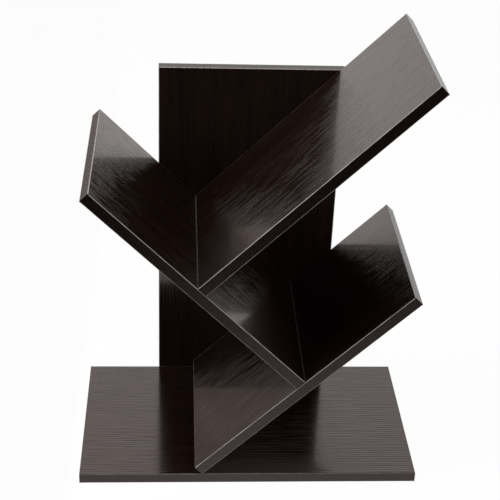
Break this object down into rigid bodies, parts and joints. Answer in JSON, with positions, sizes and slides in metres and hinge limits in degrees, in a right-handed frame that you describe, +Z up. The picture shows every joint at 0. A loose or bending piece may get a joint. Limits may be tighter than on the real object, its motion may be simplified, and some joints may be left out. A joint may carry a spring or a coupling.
{
  "type": "desktop bookshelf",
  "caption": "Free-standing desktop bookshelf: a flat base and an upright back panel carry dark wood-grain shelves that climb in a zigzag, so books lean in the angles between them.",
  "frame": {"origin": "middle of the footprint of base and back panel, on the desk", "axes": "+Z up, +Y from the open front to the back panel, +X to the right seen from the front"},
  "size_m": [0.365, 0.212, 0.4639],
  "materials": {
    "dark_melamine": "semi-gloss dark brown wood-grain melamine on particle board",
    "edge_band": "dark brown PVC band with trimmed, rounded arrises",
    "zinc_screw": "zinc-plated steel",
    "screw_cap": "moulded dark brown plastic"
  },
  "bodies": {
    "root": {"back_panel_board": "dark_melamine", "back_panel_bottom_band": "edge_band", "back_panel_left_band": "edge_band", "back_panel_right_band": "edge_band", "back_panel_top_band": "edge_band", "base_board": "dark_melamine", "base_front_band": "edge_band", "base_left_band": "edge_band", "base_rear_band": "edge_band", "base_right_band": "edge_band", "lower_shelf_board": "dark_melamine", "lower_shelf_foot_band": "edge_band", "lower_shelf_front_band": "edge_band", "lower_shelf_rear_band": "edge_band", "lower_shelf_tip_band": "edge_band", "middle_shelf_board": "dark_melamine", "middle_shelf_foot_band": "edge_band", "middle_shelf_front_band": "edge_band", "middle_shelf_rear_band": "edge_band", "middle_shelf_tip_band": "edge_band", "panel_screws": "zinc_screw", "shelf_screw_caps": "screw_cap", "shelf_screws": "zinc_screw", "upper_shelf_board": "dark_melamine", "upper_shelf_foot_band": "edge_band", "upper_shelf_front_band": "edge_band", "upper_shelf_rear_band": "edge_band", "upper_shelf_tip_band": "edge_band"}
  },
  "joints": []
}
